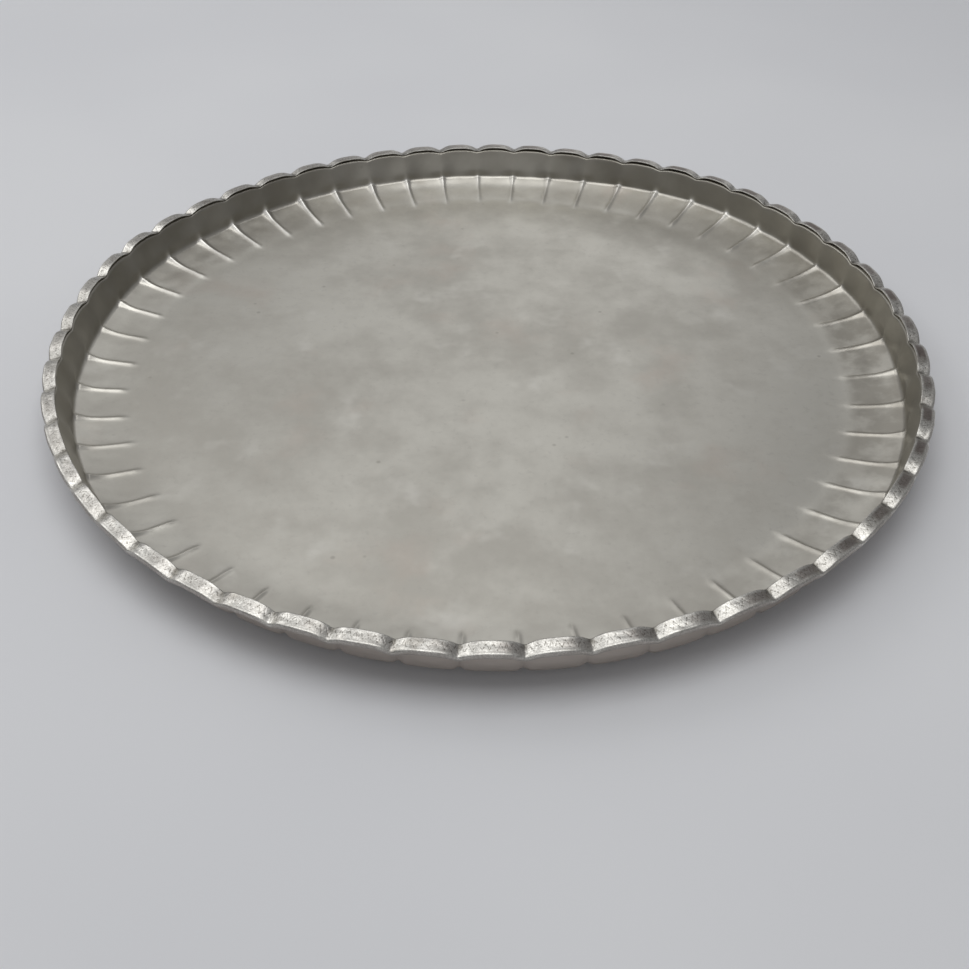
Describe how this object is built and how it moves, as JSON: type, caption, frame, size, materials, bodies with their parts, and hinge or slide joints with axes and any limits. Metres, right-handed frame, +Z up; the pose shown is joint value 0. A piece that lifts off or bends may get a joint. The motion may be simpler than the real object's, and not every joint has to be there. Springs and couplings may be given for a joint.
{
  "type": "round serving tray",
  "caption": "Round shallow serving tray of tinned copper sheet, with a flat floor, creased margin, fluted wall and a scalloped rim strip folded over a wire; it carries cups, plates or food.",
  "frame": {"origin": "middle of the floor's underside, on the surface that the tray stands on", "axes": "+Z up through the middle of the tray; +X through the middle of a lobe"},
  "size_m": [0.4497, 0.4498, 0.0272],
  "materials": {
    "tinned_copper": "satin, mottled tin over copper",
    "chased_tin": "satin tin, chased, worn bright on the high spots",
    "iron_wire": "dull drawn iron"
  },
  "bodies": {
    "root": {"tray_pan": "tinned_copper", "rim_band": "chased_tin", "rim_wire": "iron_wire"}
  },
  "joints": []
}
